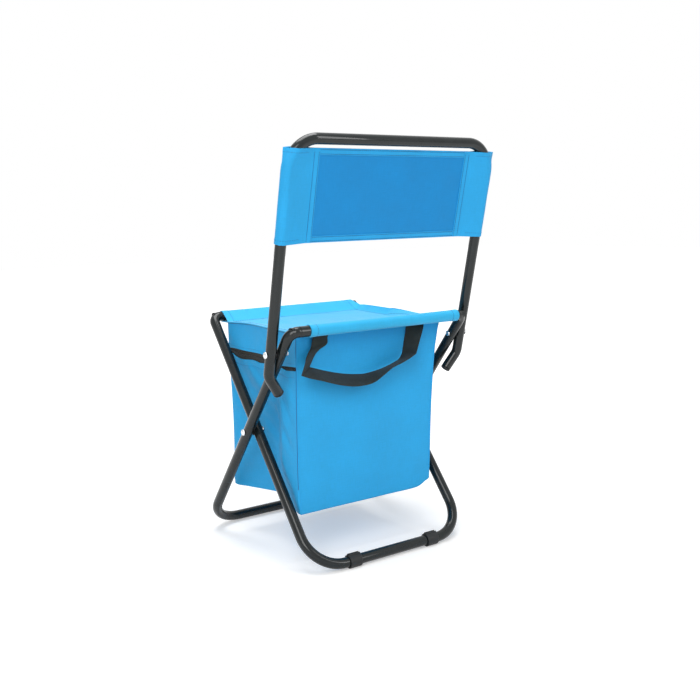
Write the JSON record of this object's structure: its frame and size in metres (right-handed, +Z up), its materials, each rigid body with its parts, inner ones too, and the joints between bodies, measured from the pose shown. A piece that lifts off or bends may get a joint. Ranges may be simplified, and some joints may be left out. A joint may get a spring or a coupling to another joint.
{
  "type": "folding stool with backrest and cooler bag",
  "caption": "Folding stool on crossed tube legs with a sling seat, a reclining fabric backrest, and a zipped insulated bag with a webbing handle hung under the seat.",
  "frame": {"origin": "on the floor, under the middle of the whole stool's outline", "axes": "+X to the sitter's right, +Y the way the sitter faces, +Z up"},
  "size_m": [0.3782, 0.3462, 0.631],
  "materials": {
    "frame_paint": "glossy black powder coat",
    "rivet_steel": "bright zinc plate",
    "blue_fabric": "plain-woven coated polyester",
    "blue_mesh": "darker open-woven polyester",
    "black_plastic": "moulded, matte",
    "black_webbing": "ribbed webbing",
    "white_foam": "closed-cell foam",
    "silver_lining": "metallised film on cloth",
    "zip_metal": "black enamelled die casting"
  },
  "bodies": {
    "seat_and_bag": {"seat_panel": "blue_fabric", "lid_band": "blue_fabric", "bag_cover": "blue_fabric", "bag_foam": "white_foam", "bag_lining": "silver_lining", "zip_tape": "black_webbing", "zip_teeth": "black_plastic", "cross_rivet_left": "rivet_steel", "cross_rivet_right": "rivet_steel", "cross_washer_left": "black_plastic", "cross_washer_right": "black_plastic"},
    "inner_frame": {"inner_leg_frame": "frame_paint", "front_seat_bar": "frame_paint", "seat_sleeve_front": "blue_fabric", "rear_foot_pad_left": "black_plastic", "rear_foot_pad_right": "black_plastic"},
    "outer_frame": {"outer_leg_frame": "frame_paint", "rear_seat_bar": "frame_paint", "seat_sleeve_rear": "blue_fabric", "front_foot_pad": "black_plastic", "back_rivet_left": "rivet_steel", "back_rivet_right": "rivet_steel", "back_washer_left": "black_plastic", "back_washer_right": "black_plastic"},
    "backrest": {"back_frame": "frame_paint", "back_end_cap_left": "black_plastic", "back_end_cap_right": "black_plastic", "back_pocket_left": "blue_fabric", "back_pocket_right": "blue_fabric", "back_mesh": "blue_mesh", "back_hem_top": "blue_fabric", "back_hem_bottom": "blue_fabric"},
    "handle": {"webbing_handle": "black_webbing"},
    "slider_left": {"zip_slider_left": "zip_metal"},
    "slider_right": {"zip_slider_right": "zip_metal"},
    "pull_left": {"zip_pull_left": "zip_metal"},
    "pull_right": {"zip_pull_right": "zip_metal"}
  },
  "joints": [
    {"name": "fold_inner", "type": "hinge", "parent": "seat_and_bag", "child": "inner_frame", "pos_m": [0, 0.01483, 0.193], "axis": [1, 0, 0], "range_deg": [0, 34]},
    {"name": "fold_outer", "type": "hinge", "parent": "seat_and_bag", "child": "outer_frame", "pos_m": [0, 0.01483, 0.193], "axis": [-1, 0, 0], "range_deg": [0, 34]},
    {"name": "back_recline", "type": "hinge", "parent": "outer_frame", "child": "backrest", "pos_m": [0, -0.09354, 0.327], "axis": [-1, 0, 0], "range_deg": [-7.5, 90]},
    {"name": "handle_swing", "type": "hinge", "parent": "seat_and_bag", "child": "handle", "pos_m": [0, -0.08667, 0.3505], "axis": [-1, 0, 0], "range_deg": [0, 60]},
    {"name": "zip_slide_left", "type": "slide", "parent": "seat_and_bag", "child": "slider_left", "axis": [-1, 0, 0], "range_m": [0, 0.108]},
    {"name": "zip_slide_right", "type": "slide", "parent": "seat_and_bag", "child": "slider_right", "axis": [1, 0, 0], "range_m": [0, 0.108]},
    {"name": "pull_tab_left", "type": "hinge", "parent": "slider_left", "child": "pull_left", "pos_m": [-0.007, 0.13373, 0.306], "axis": [1, 0, 0], "range_deg": [0, 150]},
    {"name": "pull_tab_right", "type": "hinge", "parent": "slider_right", "child": "pull_right", "pos_m": [0.007, 0.13373, 0.306], "axis": [1, 0, 0], "range_deg": [0, 150]}
  ],
  "couplings": [
    {"joint": "fold_outer", "follows": "fold_inner", "ratio": 1}
  ]
}
